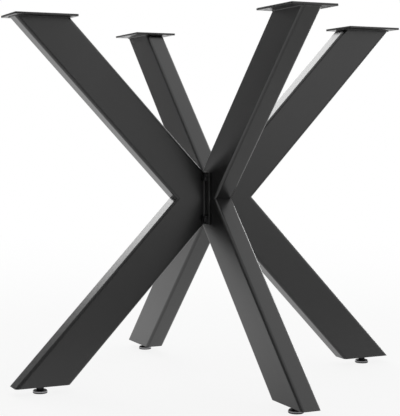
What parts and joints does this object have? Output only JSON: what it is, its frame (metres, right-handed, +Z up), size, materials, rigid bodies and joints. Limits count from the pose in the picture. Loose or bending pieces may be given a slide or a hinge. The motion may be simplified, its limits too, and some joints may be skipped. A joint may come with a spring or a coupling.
{
  "type": "table base",
  "caption": "Steel table base of sloping rectangular tubes crossing at a bolted hub, with top plates for the table top and levelling feet.",
  "frame": {"origin": "on the floor under the middle of the hub, where the upright axis of the cross meets it", "axes": "+Z up; the welded X frame stands in the YZ plane with its front leg towards -Y; the bolted half frames point along -X and +X; seen from the picture's side the camera stands at -X, -Y"},
  "size_m": [0.854, 0.794, 0.72],
  "materials": {
    "black_coat": "fine semi-matte black powder coat",
    "black_steel": "black zinc plated",
    "plain_steel": "plain machined steel",
    "bright_steel": "bright zinc plated"
  },
  "bodies": {
    "frame": {"front_upper_arm": "black_coat", "front_lower_arm": "black_coat", "back_upper_arm": "black_coat", "back_lower_arm": "black_coat", "left_upper_arm": "black_coat", "left_lower_arm": "black_coat", "right_upper_arm": "black_coat", "right_lower_arm": "black_coat", "left_flange": "black_coat", "right_flange": "black_coat", "front_top_plate": "black_coat", "back_top_plate": "black_coat", "left_top_plate": "black_coat", "right_top_plate": "black_coat", "front_end_plate": "black_coat", "back_end_plate": "black_coat", "left_end_plate": "black_coat", "right_end_plate": "black_coat", "front_foot_nut": "plain_steel", "back_foot_nut": "plain_steel", "left_foot_nut": "plain_steel", "right_foot_nut": "plain_steel", "front_upper_sleeve": "plain_steel", "front_lower_sleeve": "plain_steel", "back_upper_sleeve": "plain_steel", "back_lower_sleeve": "plain_steel", "left_washer_front_upper": "black_steel", "left_bolt_front_upper": "black_steel", "left_washer_front_lower": "black_steel", "left_bolt_front_lower": "black_steel", "left_washer_back_upper": "black_steel", "left_bolt_back_upper": "black_steel", "left_washer_back_lower": "black_steel", "left_bolt_back_lower": "black_steel", "right_washer_front_upper": "black_steel", "right_bolt_front_upper": "black_steel", "right_washer_front_lower": "black_steel", "right_bolt_front_lower": "black_steel", "right_washer_back_upper": "black_steel", "right_bolt_back_upper": "black_steel", "right_washer_back_lower": "black_steel", "right_bolt_back_lower": "black_steel"},
    "front_foot": {"front_foot_stem": "black_steel", "front_foot_pad": "bright_steel"},
    "back_foot": {"back_foot_stem": "black_steel", "back_foot_pad": "bright_steel"},
    "left_foot": {"left_foot_stem": "black_steel", "left_foot_pad": "bright_steel"},
    "right_foot": {"right_foot_stem": "black_steel", "right_foot_pad": "bright_steel"}
  },
  "joints": [
    {"name": "front_foot_screw", "type": "slide", "parent": "frame", "child": "front_foot", "axis": [0, 0, -1], "range_m": [0, 0.015]},
    {"name": "back_foot_screw", "type": "slide", "parent": "frame", "child": "back_foot", "axis": [0, 0, -1], "range_m": [0, 0.015]},
    {"name": "left_foot_screw", "type": "slide", "parent": "frame", "child": "left_foot", "axis": [0, 0, -1], "range_m": [0, 0.015]},
    {"name": "right_foot_screw", "type": "slide", "parent": "frame", "child": "right_foot", "axis": [0, 0, -1], "range_m": [0, 0.015]}
  ]
}
